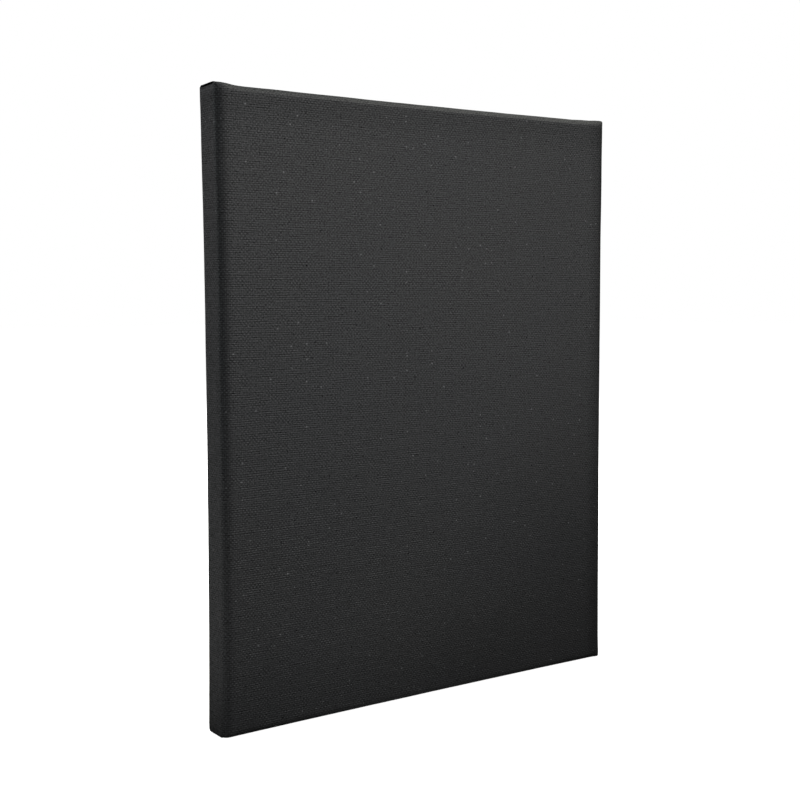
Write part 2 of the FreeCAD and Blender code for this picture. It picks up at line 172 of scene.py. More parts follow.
class Graph:
    def __init__(self, name):
        self.mat = bpy.data.materials.new(name)
        self.mat.use_nodes = True
        self.nt = self.mat.node_tree
        self.nt.nodes.clear()
        self.out = self.nt.nodes.new("ShaderNodeOutputMaterial")
        self.bsdf = self.nt.nodes.new("ShaderNodeBsdfPrincipled")
        self.nt.links.new(self.bsdf.outputs[0], self.out.inputs["Surface"])

    def put(self, socket, value):
        if isinstance(value, Sock):
            self.nt.links.new(value.s, socket)
        elif isinstance(value, (tuple, list)) and socket.type == "RGBA":
            socket.default_value = (*value[:3], 1.0)
        else:
            socket.default_value = value

    def m(self, op, a, b=None, c=None, clamp=False):
        n = self.nt.nodes.new("ShaderNodeMath")
        n.operation, n.use_clamp = op, clamp
        for i, v in enumerate((a, b, c)):
            if v is not None:
                self.put(n.inputs[i], v)
        return Sock(self, n.outputs[0])

    def v(self, op, a, b=None, scale=None):
        n = self.nt.nodes.new("ShaderNodeVectorMath")
        n.operation = op
        self.put(n.inputs[0], a)
        if b is not None:
            self.put(n.inputs[1], b)
        if scale is not None:
            self.put(n.inputs["Scale"], scale)
        return Sock(self, n.outputs["Value" if op in ("DOT_PRODUCT", "LENGTH", "DISTANCE") else "Vector"])

    def xyz(self, x=0.0, y=0.0, z=0.0):
        n = self.nt.nodes.new("ShaderNodeCombineXYZ")
        for i, v in enumerate((x, y, z)):
            self.put(n.inputs[i], v)
        return Sock(self, n.outputs[0])

    def split(self, vec):
        n = self.nt.nodes.new("ShaderNodeSeparateXYZ")
        self.put(n.inputs[0], vec)
        return [Sock(self, o) for o in n.outputs]

    def noise(self, vec, scale=1.0, detail=2.0, rough=0.5, distort=0.0):
        n = self.nt.nodes.new("ShaderNodeTexNoise")
        self.put(n.inputs["Vector"], vec)
        n.inputs["Scale"].default_value = scale
        n.inputs["Detail"].default_value = detail
        n.inputs["Roughness"].default_value = rough
        n.inputs["Distortion"].default_value = distort
        return Sock(self, n.outputs[0])

    def voronoi(self, vec, scale=1.0, feature="F1", randomness=1.0):
        n = self.nt.nodes.new("ShaderNodeTexVoronoi")
        n.feature = feature
        self.put(n.inputs["Vector"], vec)
        n.inputs["Scale"].default_value = scale
        n.inputs["Randomness"].default_value = randomness
        return Sock(self, n.outputs["Distance"]), Sock(self, n.outputs["Color"])

    def attribute(self, name, vector=False):
        n = self.nt.nodes.new("ShaderNodeAttribute")
        n.attribute_name = name
        return Sock(self, n.outputs["Vector" if vector else "Fac"])

    def object_coords(self):
        n = self.nt.nodes.new("ShaderNodeTexCoord")
        return Sock(self, n.outputs["Object"])

    def normal(self):
        return Sock(self, self.nt.nodes.new("ShaderNodeNewGeometry").outputs["Normal"])

    def mix(self, fac, a, b, blend="MIX"):
        n = self.nt.nodes.new("ShaderNodeMix")
        n.data_type, n.blend_type = "RGBA", blend
        n.clamp_factor = True
        ins = [s for s in n.inputs if s.enabled]
        self.put(n.inputs["Factor"] if False else ins[0], fac)
        self.put(ins[1], a)
        self.put(ins[2], b)
        return Sock(self, [o for o in n.outputs if o.enabled][0])

    def span(self, v, a, b, c=0.0, d=1.0, kind="LINEAR"):
        n = self.nt.nodes.new("ShaderNodeMapRange")
        n.interpolation_type = kind
        n.clamp = True
        for i, x in enumerate((v, a, b, c, d)):
            self.put(n.inputs[i], x)
        return Sock(self, n.outputs[0])

    def bump(self, height, distance, strength=1.0, normal=None):
        n = self.nt.nodes.new("ShaderNodeBump")
        n.inputs["Distance"].default_value = distance
        n.inputs["Strength"].default_value = strength
        self.put(n.inputs["Height"], height)
        if normal is not None:
            self.put(n.inputs["Normal"], normal)
        return Sock(self, n.outputs[0])

    def set(self, **values):
        for key, value in values.items():
            self.put(self.bsdf.inputs[key.replace("_", " ")], value)
        return self.mat


def srgb(r, g, b):
    return tuple(((c / 255) / 12.92 if c / 255 <= 0.04045 else ((c / 255 + 0.055) / 1.055) ** 2.4) for c in (r, g, b))


WARP, WEFT = 0.798, 0.858  # thread spacing across and up the picture


def weave(g, u, v, a_weft, a_warp, a_check, wobble=0.16):
    """Plain weave from the cloth's own coordinates in mm: its height (about -1..1) and its exact slopes along u and v.
    Slopes are worked out, not read from neighbouring samples, so that the threads keep their relief at any distance."""
    long_u = g.noise(g.xyz(u * 0.045, v * 0.22), 1.0, 2.0, 0.5)
    long_v = g.noise(g.xyz(u * 0.22, v * 0.03 + 31.0), 1.0, 2.0, 0.5)
    fat_weft = g.noise(g.xyz(u * 0.16, v * 1.05 + 7.0), 1.0, 2.5, 0.6)  # slubs: one thread thicker for some way
    fat_warp = g.noise(g.xyz(u * 1.15 + 3.0, v * 0.13), 1.0, 2.0, 0.6)
    a = (u * (1 / WARP) + (long_v - 0.5) * (2 * wobble)) * (2 * math.pi)
    b = (v * (1 / WEFT) + (long_u - 0.5) * (4 * wobble)) * (2 * math.pi)
    wf = g.span(fat_weft, 0.28, 0.72, 0.25, 1.75)
    wp = g.span(fat_warp, 0.3, 0.7, 0.4, 1.6)
    sa, ca = g.m("SINE", a), g.m("COSINE", a)
    sb, cb = g.m("SINE", b), g.m("COSINE", b)
    ha, hb = a * 0.5, b * 0.5
    sha, cha = g.m("SINE", ha), g.m("COSINE", ha)
    shb, chb = g.m("SINE", hb), g.m("COSINE", hb)
    height = cb * wf * a_weft + ca * wp * a_warp + cha * chb * a_check
    slope_v = sb * wf * (-a_weft * 2 * math.pi / WEFT) + cha * shb * (-a_check * math.pi / WEFT)
    slope_u = sa * wp * (-a_warp * 2 * math.pi / WARP) + sha * chb * (-a_check * math.pi / WARP)
    return height, slope_u, slope_v, wf


def tilt(g, normal, tangent, slope_u, slope_v):
    """The surface normal leaned by the two slopes."""
    across = g.v("CROSS_PRODUCT", normal, tangent)
    n = g.v("SUBTRACT", normal, g.v("SCALE", tangent, scale=slope_u))
    n = g.v("SUBTRACT", n, g.v("SCALE", across, scale=slope_v))
    return g.v("NORMALIZE", n)


def primed_material():
    g = Graph("black_primed_cotton")
    u, v, layer = g.split(g.attribute("weave_uv", True))
    tangent = g.attribute("weave_tangent", True)
    # The threads of the weave, drowned here and there by the primer.
    long_u = g.noise(g.xyz(u * 0.045, v * 0.22), 1.0, 2.0, 0.5)
    long_v = g.noise(g.xyz(u * 0.22, v * 0.03 + 31.0), 1.0, 2.0, 0.5)
    fat_weft = g.noise(g.xyz(u * 0.14, v * 0.62 + 7.0), 1.0, 2.5, 0.6)
    fat_check = g.noise(g.xyz(u * 0.17 + 50.0, v * 0.26), 1.0, 2.0, 0.6)
    fat_warp = g.noise(g.xyz(u * 1.15 + 3.0, v * 0.13), 1.0, 2.0, 0.6)
    a = (u * (1 / WARP) + (long_v - 0.5) * 0.5) * (2 * math.pi)
    b = (v * (1 / WEFT) + (long_u - 0.5) * 0.9) * (2 * math.pi)
    wf = g.span(fat_weft, 0.36, 0.66, 0.15, 2.0)
    wc = g.span(fat_check, 0.36, 0.66, 0.25, 1.9)
    wp = g.span(fat_warp, 0.3, 0.7, 0.3, 1.7)
    sa, ca, sb, cb = g.m("SINE", a), g.m("COSINE", a), g.m("SINE", b), g.m("COSINE", b)
    ha, hb = a * 0.5, b * 0.5
    sha, cha, shb, chb = g.m("SINE", ha), g.m("COSINE", ha), g.m("SINE", hb), g.m("COSINE", hb)
    # The primer itself: clots, brushed grain and fine grit.
    grit = g.noise(g.xyz(u * 0.75, v, layer), 1.45, 3.0, 0.68) - 0.5
    grit2 = g.noise(g.xyz(u * 0.93 + 40.0, v, layer), 1.45, 3.0, 0.68) - 0.5
    clot = g.noise(g.xyz(u * 0.26, v * 0.44, layer), 1.0, 2.0, 0.55) - 0.5
    # Besides the primer's own grit and clots, this paints the weave into the colour and specular level: painted shade
    # in the hollows between the threads, painted highlight on their crests.
    mod = 1.0 + cb * wf * 0.24 + ca * wp * 0.1 + cha * chb * wc * 0.22 + grit * 2.1 + grit2 * 1.9 + clot * 0.28
    # Thread tops standing clear of the primer are painted as single bright dots in the colour and specular level, a
    # painted highlight; pinholes are painted as dark dots, painted shade.
    cd, cc = g.voronoi(g.xyz(u * 0.30, v * 0.36, 11.0), 1.0)
    cr, cg_, cb_ = g.split(cc)
    dot = g.span(cd, 0.075, 0.15, 1.0, 0.0, "SMOOTHSTEP")
    mod = mod + dot * g.m("GREATER_THAN", cr, 0.80) * 1.92 - dot * g.m("LESS_THAN", cr, 0.16) * 0.84
    # Painted shade: the colour and specular level are darkened, by about half at the most, towards the right edge, the
    # foot, the lower corners and the left side, a fall-off of light which the lamps alone don't give.
    painted_shade = g.span(u, 89.5, 98.5, 0.0, 0.22, "SMOOTHSTEP") + g.span(u * 0.6 - v * 0.5, -46.0, 60.0, 0.0, 0.32, "SMOOTHSTEP")
    painted_shade = painted_shade + g.span(v, 236.0, 249.0, 0.0, 0.12, "SMOOTHSTEP") * g.span(v, 250.7, 251.3, 1.0, 0.0)
    painted_shade = painted_shade + g.span(v, 0.0, 48.0, 0.18, 0.0, "SMOOTHSTEP") * g.span(u, 20.0, 70.0, 1.0, 0.0)
    on_side = g.span(u, -104.0, -102.0, 1.0, 0.0)
    painted_shade = painted_shade + (g.span(v, 10.0, 80.0, 0.18, 0.0) + g.span(v, 80.0, 230.0, 0.09, 0.0)) * on_side
    mod = g.m("MAXIMUM", mod * (1.0 - painted_shade), 0.12)
    su = sha * chb * wc * (-0.016 * math.pi / WARP) + sa * wp * (-0.006 * 2 * math.pi / WARP) + grit2 * 0.24
    sv = cha * shb * wc * (-0.016 * math.pi / WEFT) + sb * wf * (-0.018 * 2 * math.pi / WEFT) + grit * 0.34
    tone = g.noise(g.xyz(u * 0.012, v * 0.012, 5.0), 1.0, 3.0, 0.55)
    base = g.mix(g.span(tone, 0.25, 0.75), (0.0172, 0.0172, 0.0168), (0.0155, 0.0162, 0.0172))
    base = g.mix(1.0, base, g.xyz(mod, mod, mod), "MULTIPLY")
    # Lint: a few pale specks caught on the cloth.
    ld, lc = g.voronoi(g.xyz(u * 0.030, v * 0.034, 3.0), 1.0)
    lr, lg, lb = g.split(lc)
    speck = g.span(ld, 0.009, 0.0155, 1.0, 0.0, "SMOOTHSTEP") * g.m("GREATER_THAN", lr, 0.80)
    base = g.mix(speck * 0.8, base, srgb(165, 165, 162))
    rough = g.span(mod, 0.4, 1.7, 0.54, 0.47)
    return g.set(
        Base_Color=base,
        Roughness=rough,
        Specular_IOR_Level=g.m("MINIMUM", mod * 0.54, 1.6),
        Normal=tilt(g, g.normal(), tangent, su, sv),
    )


def cotton_material():
    g = Graph("raw_cotton")
    uv = g.attribute("weave_uv", True)
    tangent = g.attribute("weave_tangent", True)
    u, v, layer = g.split(uv)
    height, su, sv, slub = weave(g, u, v, 0.026, 0.022, 0.030)
    fine = g.noise(g.xyz(u, v, layer), 3.2, 3.0, 0.65)
    hair = g.noise(g.xyz(u * 2.2, v * 9.0, layer), 1.0, 2.0, 0.6)
    su = su + (fine - 0.5) * 0.35
    sv = sv + (hair - 0.5) * 0.35
    relief = g.span(height, -0.06, 0.055, 0.0, 1.0)
    yarn = g.noise(g.xyz(u * 0.07, v * 1.16), 1.0, 2.0, 0.6)
    yarn2 = g.noise(g.xyz(u * 1.25, v * 0.06), 1.0, 2.0, 0.6)
    tone = g.noise(g.xyz(u * 0.015, v * 0.015), 1.0, 3.0, 0.55)
    base = g.mix(g.span(yarn + yarn2, 0.7, 1.3), srgb(196, 183, 158), srgb(219, 209, 188))
    base = g.mix(g.span(tone, 0.3, 0.7), base, srgb(205, 193, 169))
    # Black primer struck through between the threads.
    blot = g.noise(g.xyz(u * 0.55, v * 0.6, 2.0), 1.0, 3.0, 0.65)
    pin = g.span(relief, 0.02, 0.34, 1.0, 0.0) * g.span(blot, 0.42, 0.66)
    base = g.mix(pin * 0.8, base, srgb(62, 60, 57))
    # Seed husks left in the cotton.
    hd, hc = g.voronoi(g.xyz(u * 0.11, v * 0.15, 4.0), 1.0)
    husk = g.span(hd, 0.012, 0.04, 1.0, 0.0, "SMOOTHSTEP") * g.m("GREATER_THAN", g.split(hc)[0], 0.55)
    base = g.mix(husk * 0.75, base, srgb(104, 76, 46))
    shade = g.span(relief, 0.0, 1.0, 0.66, 1.04)
    base = g.mix(1.0, base, g.xyz(shade, shade, shade), "MULTIPLY")
    return g.set(
        Base_Color=base,
        Roughness=0.92,
        Specular_IOR_Level=0.2,
        Sheen_Weight=0.25,
        Sheen_Roughness=0.5,
        Normal=tilt(g, g.normal(), tangent, su, sv),
    )


def wood_material(name, axis, seed, light, dark, ring=3.4, fuzz=1.0):
    """Planed softwood with the grain along one axis of the row frame. Rings are cut from a log whose heart lies outside
    the bar, so that faces show long bands and ends show arcs."""
    g = Graph(name)
    p = g.v("SCALE", g.object_coords(), scale=1000.0)
    x, y, z = g.split(p)
    along, across, deep = {"X": (x, z, y), "Z": (z, x, y)}[axis]
    rng = np.random.default_rng(seed)
    ox, oy = rng.uniform(-60, -35), rng.uniform(18, 34)
    ph = float(rng.uniform(0, 50))
    sway = (g.noise(g.xyz(along * 0.012, ph, 0.0), 1.0, 2.0, 0.5) - 0.5) * 9.0
    sway2 = (g.noise(g.xyz(along * 0.05, across * 0.06, ph), 1.0, 2.0, 0.5) - 0.5) * 1.6
    cx, cy = across + (float(ox) + sway), deep * 1.0 + (float(oy) + sway2)
    r = g.m("SQRT", cx * cx + cy * cy)
    wob = g.noise(g.xyz(along * 0.01, across * 0.12, deep * 0.12 + ph), 1.0, 2.0, 0.5) * 3.0
    t = g.m("FRACT", (r + wob) * (1 / ring))
    late = g.span(t, 0.35, 0.93, 0.0, 1.0, "SMOOTHSTEP") * g.span(t, 0.93, 1.0, 1.0, 0.0)
    # Fibres and pores: long thin streaks.
    fibre = g.noise(g.xyz(along * 0.10, across * 5.0, deep * 5.0 + ph), 1.0, 3.0, 0.6)
    pore = g.noise(g.xyz(along * 0.30, across * 11.0, deep * 11.0 + ph), 1.0, 1.0, 0.5)
    tone = g.noise(g.xyz(along * 0.02, across * 0.05, ph), 1.0, 2.0, 0.5)
    # Small knots.
    kd, kc = g.voronoi(g.xyz(along * 0.0105 + ph, across * 0.030, deep * 0.03), 1.0)
    has = g.m("GREATER_THAN", g.split(kc)[1], 0.55)
    knot = g.span(kd, 0.05, 0.115, 1.0, 0.0, "SMOOTHSTEP") * has
    halo = g.span(kd, 0.08, 0.30, 1.0, 0.0, "SMOOTHSTEP") * has
    base = g.mix(late * 0.62, light, dark)
    base = g.mix(g.span(tone, 0.3, 0.7) * 0.22, base, dark)
    base = g.mix(halo * 0.35, base, dark)
    base = g.mix(knot * 0.85, base, srgb(118, 74, 40))
    streak = g.span(fibre, 0.3, 0.7, 0.92, 1.05) * g.span(pore, 0.62, 0.78, 1.0, 0.86)
    base = g.mix(1.0, base, g.xyz(streak, streak, streak), "MULTIPLY")
    # Planer marks: faint ripples across the grain.
    ripple = g.m("SINE", along * 3.3 + (fibre - 0.5) * 0.8)
    height = fibre * 0.6 + pore * 0.25 - late * 0.25 + ripple * 0.05
    rough = g.span(late + fibre * 0.5, 0.1, 1.2, 0.72, 0.50)
    return g.set(
        Base_Color=base,
        Roughness=rough,
        Specular_IOR_Level=0.35,
        Normal=g.bump(height, 0.00012 * fuzz, 0.55),
    )


def steel_material():
    g = Graph("galvanised_wire")
    p = g.v("SCALE", g.object_coords(), scale=1000.0)
    x, y, z = g.split(p)
    spangle, col = g.voronoi(p, 1.3)
    cloud = g.noise(p, 0.9, 3.0, 0.6)
    scratch = g.noise(g.xyz(x * 6.0, y * 6.0, z * 6.0), 1.0, 2.0, 0.6)
    base = g.mix(g.span(cloud, 0.3, 0.7), srgb(188, 190, 194), srgb(150, 152, 156))
    base = g.mix(g.span(scratch, 0.62, 0.8) * 0.35, base, srgb(96, 92, 88))
    rough = g.span(cloud + spangle * 0.3, 0.3, 1.0, 0.24, 0.48)
    return g.set(Base_Color=base, Metallic=0.55, Roughness=rough, Normal=g.bump(scratch + cloud, 0.00005, 0.5))


MAT_PRIMED = primed_material()
MAT_COTTON = cotton_material()


# ---------------------------------------------------------------------------------------------
# the cloth
# ---------------------------------------------------------------------------------------------
DEPTH = 3.7  # the face rounds over into the sides within this depth
BACK_R = 1.3
FLAP = 18.0
P_NORM = 5.0
# Each edge: how far the rounding reaches over the face, how gently it starts, and how far the cloth is pulled in
# half way along, compared with the corners.
EDGES = {
    "left": dict(reach=5.3, tail=14.0, bow=1.02),
    "right": dict(reach=4.9, tail=8.0, bow=0.59),
    "top": dict(reach=2.62, facet=0.52, bow=0.561),
    "bottom": dict(reach=3.0, tail=1.5, bow=0.358),
}
edge_noise = [waves(100 + i, 9, 9, 60) for i in range(4)]
cut_noise = [waves(200 + i, 12, 3, 40) for i in range(4)]
face_noise = waves2(300, 26, 14, 80)
side_noise = waves2(301, 20, 8, 60)
TOP_MID = BAR_TOP + 0.02 + CLOTH
BOT_MID = BAR_BOTTOM - 0.02 - CLOTH
SIDE_MID = BAR_X + 0.02 + CLOTH

# Rise of each corner's pleat above the plain edge at the front (distance from the side: rise), the height of its open
# mouth, and how far the pleat sinks towards the back.
CORNERS = {
    ("left", "top"): dict(
        rise=([0, 1.3, 2.5, 3.8, 5.1, 6.4, 7.7, 9.0, 10.3, 13, 17, 21, 24, 27], [0.76, 0.73, 0.63, 0.51, 0.43, 0.26, 0.08, -0.02, -0.08, -0.13, -0.12, -0.08, -0.01, 0]),
        mouth=0.78,
        sink=0.15,
        gape=True,
        sink_span=(0.0, 0.9),
        shape=dict(lip=0.09, bend=0.45, set_back=-0.02, lip_back=0.45),
    ),
    ("right", "top"): dict(
        rise=([0, 2.6, 4.0, 5.3, 6.6, 7.9, 9.2, 10.5, 13, 15.5, 18, 19.5, 25], [0.46, 0.46, 0.42, 0.36, 0.28, 0.19, 0.14, 0.11, 0.09, 0.04, -0.04, -0.09, 0]),
        mouth=0.50,
        sink=0.9,
        p=8.0,
    ),
    ("left", "bottom"): dict(
        rise=([0, 2, 5, 12], [0.02, 0.03, 0.02, 0]),
        mouth=0.22,
        sink=0.34,
        sink_span=(-0.3, 1.2),
        p=5.0,
        shape=dict(bend=0.6, lip_back=0.3, lip_up=0.1),
    ),
    ("right", "bottom"): dict(rise=([0, 1.5, 3.0, 5, 8], [0.20, 0.16, 0.05, 0.0, 0.0]), mouth=0.42, sink=0.12, p=14.0),
}


def rounding(edge):
    """The cross-section from the face (0) to the side (1): share of the reach, share of the depth, and the extra length
    of cloth over a straight run. The curve is slack where it leaves the face and tight where it meets the side."""
    th = np.linspace(0, math.pi / 2, 181)
    if "facet" in EDGES[edge]:  # a bend, a nearly flat leaning band, a second bend and a straight run
        lean = EDGES[edge]["facet"]
        run = np.linspace(0, 0.7 + 1.6 + 1.0 + 1.865, 181)
        turn = np.interp(run, [0, 0.7, 2.3, 3.3, run[-1]], [0, lean, lean + 0.02, 1.40, 1.54])
        step = np.diff(run)
        dx, dy = np.cos(turn), np.sin(turn)
    else:
        rho = 3.2 + EDGES[edge]["tail"] * np.exp(-th / 0.17)
        step = np.diff(th)
        dx, dy = rho * np.cos(th), rho * np.sin(th)
    x = np.concatenate([[0], np.cumsum((dx[1:] + dx[:-1]) / 2 * step)])
    y = np.concatenate([[0], np.cumsum((dy[1:] + dy[:-1]) / 2 * step)])
    x, y = x / x[-1], y / y[-1]
    run = np.concatenate([[0], np.cumsum(np.hypot(np.diff(x) * EDGES[edge]["reach"], np.diff(y) * DEPTH))])
    return th, x, y, run - x * EDGES[edge]["reach"]


ROUND = {e: rounding(e) for e in EDGES}


def turn_angle(share):
    return (math.pi / 2) * np.asarray(share, float) ** 1.25


def pleat(corner, xi, d):
    """Rise of the pleat above the plain edge: xi is the distance from the side, d the depth (0 front, 1 back)."""
    c = CORNERS[corner]
    front = np.interp(xi, *c["rise"])
    fade = 1.0 - 0.35 * smooth(0.0, 1.0, d)
    return front * fade - c["sink"] * smooth(*c.get("sink_span", (0.3, 1.05)), d) * np.exp(-((np.asarray(xi, float) / 4.2) ** 2))


def side_x(side, z, d):
    """Half width of the cloth at height z: pulled in a little between the corners."""
    s = np.abs((z - MID_Z) / HALF_H)
    n = edge_noise[0 if side == "left" else 1](z) * 0.03
    out = SIDE_MID + EDGES[side]["bow"] * s**2.4 + n + 0.02 * side_noise(z, d * 14.0 + (0 if side == "left" else 90))
    if side == "right":
        out = out + 0.20 * np.exp(-(((z - 2.0) / 5.0) ** 2)) + 0.08 * np.exp(-(((z - 248.0) / 7.0) ** 2))
    return out


def level_z(level, x, d):
    """Height of the top or bottom of the cloth at x."""
    s = np.abs(x / HALF_W)
    n = edge_noise[2 if level == "top" else 3](x) * 0.03
    if level == "top":
        base = TOP_MID + EDGES[level]["bow"] * s**2.4 + n + 0.02 * side_noise(x, d * 14.0 + 200)
        sign = 1
    else:
        base = BOT_MID - EDGES[level]["bow"] * np.minimum(s, 1.0) ** 2.4 + n * 0.5
        sign = -1
    for side in ("left", "right"):
        xi = W_CORNER[side] + x if side == "left" else W_CORNER[side] - x
        base = base + sign * pleat((side, level), np.maximum(xi, 0), d)
    return np.maximum(base, 0.01) if level == "bottom" else base


W_CORNER = {side: SIDE_MID + EDGES[side]["bow"] for side in ("left", "right")}
Z_CORNER = {"top": TOP_MID + EDGES["top"]["bow"], "bottom": BOT_MID - EDGES["bottom"]["bow"]}


def corner_round(n, a_s, a_t, p=None):
    """Profile of a plain corner, from (0, a_t) on the side to (a_s, 0) on the level: 2n + 1 points (xi, zeta)."""
    p = p or P_NORM
    out = []
    for k in range(2 * n + 1):
        fs, ft = (1.0, k / n) if k <= n else ((2 * n - k) / n, 1.0)
        v = np.array([np.interp(turn_angle(fs), ROUND["left"][0], ROUND["top"][1]), np.interp(turn_angle(ft), ROUND["top"][0], ROUND["top"][1])])
        v = v * v.max() / (v[0] ** p + v[1] ** p) ** (1 / p)
        out.append((a_s - a_s * v[0], a_t - a_t * v[1]))
    return np.array(out)


def corner_mouth(n, a_s, a_t, mouth, deep=2.1, lip=0.14, bend=0.5, set_back=0.05, lip_back=0.0, lip_up=0.0):
    """Profile of an open pleat: up the side, round its bend, into the mouth, out under the lip and over it."""
    under = 2 * lip
    knee = under + mouth
    pts = [(0.0, a_t), (set_back * 0.6, 0.5 * (a_t + knee + bend)), (set_back, knee + bend)]
    for ang in (22, 45, 68, 90):
        r = math.radians(ang)
        pts.append((set_back + bend * (1 - math.cos(r)), knee + bend * (1 - math.sin(r))))
    pts.append((deep * 0.72, under + mouth * 0.88))
    pts.append((deep, under + mouth * 0.55))
    pts.append((deep * 0.95, under + mouth * 0.15))
    pts.append((deep * 0.5, under))
    pts.append((lip_back + lip * 1.6, under))
    for ang in (-55, -15, 25, 60, 90):
        r = math.radians(ang)
        pts.append((lip_back + lip - lip * math.cos(r), lip - lip * math.sin(r)))
    left = min(1.0, (a_s - lip_back) / 4.4)
    pts.append((lip_back + 0.9 * left, -0.01))
    pts.append((lip_back + 1.9 * left, 0.0))
    pts.append((lip_back + 3.2 * left, 0.0))
    pts.append((a_s, 0.0))
    assert len(pts) == 2 * n + 1
    pts = np.array(pts)
    if lip_up:
        fade = np.clip(1 - (pts[:, 0] - lip_back) / (a_s - lip_back), 0, 1) ** 1.5
        fade[: 7] = 0.0
        pts[:, 1] += lip_up * fade
    return pts


class Wrap:
    """A sheet wrapped round the frame: a grid on the face whose border is carried round the edges in rings."""

    def __init__(self, nx, nz, k, offset):
        self.nx, self.nz, self.k, self.off = nx, nz, k, offset
        self.ns, self.nt = nx + 2 * k, nz + 2 * k
        self.co, self.uv, self.tan, self.wear, self.bake = [], [], [], [], []
        s = np.arange(self.ns + 1)
        t = np.arange(self.nt + 1)
        self.share_s = np.where(s < k, -(k - s), np.where(s > nx + k, s - nx - k, 0)) / k
        self.share_t = np.where(t < k, -(k - t), np.where(t > nz + k, t - nz - k, 0)) / k
        self.flat_s = np.clip((s - k) / nx, 0, 1)
        self.flat_t = np.clip((t - k) / nz, 0, 1)
        # Border, anticlockwise from the lower left corner as seen from the front: (s, t) pairs.
        b = [(i, 0) for i in range(self.ns)]
        b += [(self.ns, j) for j in range(self.nt)]
        b += [(i, self.nt) for i in range(self.ns, 0, -1)]
        b += [(0, j) for j in range(self.nt, 0, -1)]
        self.border = b
        self.count = len(b)
        self.part = []
        for i, j in b:
            ks = "left" if i <= k else "right" if i >= nx + k else None
            kt = "bottom" if j <= k else "top" if j >= nz + k else None
            if ks and kt:
                # order along the corner: 0 at the side end, 2k at the level end
                if i in (0, self.ns):
                    order = k - j if j <= k else j - nz - k
                else:
                    order = 2 * k - (k - i if i <= k else i - nx - k)
                self.part.append(("corner", ks, kt, order))
            elif i in (0, self.ns):
                self.part.append(("side", ks, None, 0))
            else:
                self.part.append(("level", None, kt, 0))

    def add(self, co, uv, tan, wear, bake):
        base = sum(len(c) for c in self.co)
        self.co.append(np.asarray(co, float))
        self.uv.append(np.asarray(uv, float))
        self.tan.append(np.asarray(tan, float))
        self.wear.append(np.broadcast_to(np.asarray(wear, float), (len(co),)))
        self.bake.append(np.asarray(bake, float))
        return base

    def grid_points(self, y_face, noise=True):
        """The face: flat grid plus its rounding, as (t, s) ordered points."""
        o = self.off
        fs, ft = np.meshgrid(self.flat_s, self.flat_t)
        qs, qt = np.meshgrid(self.share_s, self.share_t)
        th_s, th_t = turn_angle(np.abs(qs)), turn_angle(np.abs(qt))

        def pick(th, q, names, row):
            neg, pos = (np.interp(th, ROUND[n][0], ROUND[n][row]) for n in names)
            return np.where(q < 0, neg, pos)

        sides, levels = ("left", "right"), ("bottom", "top")
        vx, vz = pick(th_s, qs, sides, 1), pick(th_t, qt, levels, 1)
        ex, ez = pick(th_s, qs, sides, 3), pick(th_t, qt, levels, 3)
        m = np.maximum(vx, vz)
        p = np.full(qs.shape, P_NORM)
        for (side, level), c in CORNERS.items():
            p[(np.sign(qs) == (-1 if side == "left" else 1)) & (np.sign(qt) == (-1 if level == "bottom" else 1))] = c.get("p", P_NORM)
        norm = (vx**p + vz**p) ** (1 / p)
        scale = np.where(norm > 1e-9, m / np.maximum(norm, 1e-9), 0)
        share = vx / np.maximum(vx + vz, 1e-9)
        vx, vz = vx * scale, vz * scale

        def depth(q, names):
            neg, pos = (np.interp(m, ROUND[n][1], ROUND[n][2]) for n in names)
            return np.where(q < 0, neg, pos)

        drop = DEPTH * (share * depth(qs, sides) + (1 - share) * depth(qt, levels))
        al, ar = EDGES["left"]["reach"], EDGES["right"]["reach"]
        ab, at = EDGES["bottom"]["reach"], EDGES["top"]["reach"]
        a_s, a_t = np.where(qs < 0, al, ar), np.where(qt < 0, ab, at)
        z0 = (BOT_MID + ab) + (TOP_MID - at - BOT_MID - ab) * ft
        xl = -(side_x("left", z0, 0.0) - o) + al
        xr = side_x("right", z0, 0.0) - o - ar
        x = xl + (xr - xl) * fs + np.sign(qs) * a_s * vx
        zb = level_z("bottom", x, 0.0) + o + ab
        zt = level_z("top", x, 0.0) - o - at
        zt0, zb0 = TOP_MID - o - at, BOT_MID + o + ab
        z = zb0 + (zt0 - zb0) * ft
        z = z + (zt - zt0) * smooth(26.0, 0.0, zt0 - z) + (zb - zb0) * smooth(26.0, 0.0, z - zb0) + np.sign(qt) * a_t * vz
        y = y_face + o + drop
        if noise:
            calm = smooth(0, 18, HALF_W - np.abs(x)) * smooth(0, 18, HALF_H - np.abs(z - MID_Z))
            y = y + 0.045 * face_noise(x, z) * (0.25 + 0.75 * calm)
        self.x_border = np.array([x[j, i] for i, j in self.border])
        self.z_border = np.array([z[j, i] for i, j in self.border])
        u = x + np.sign(qs) * ex
        v = z + np.sign(qt) * ez
        return x, y, z, u, v, th_s * np.sign(qs), th_t * np.sign(qt), m


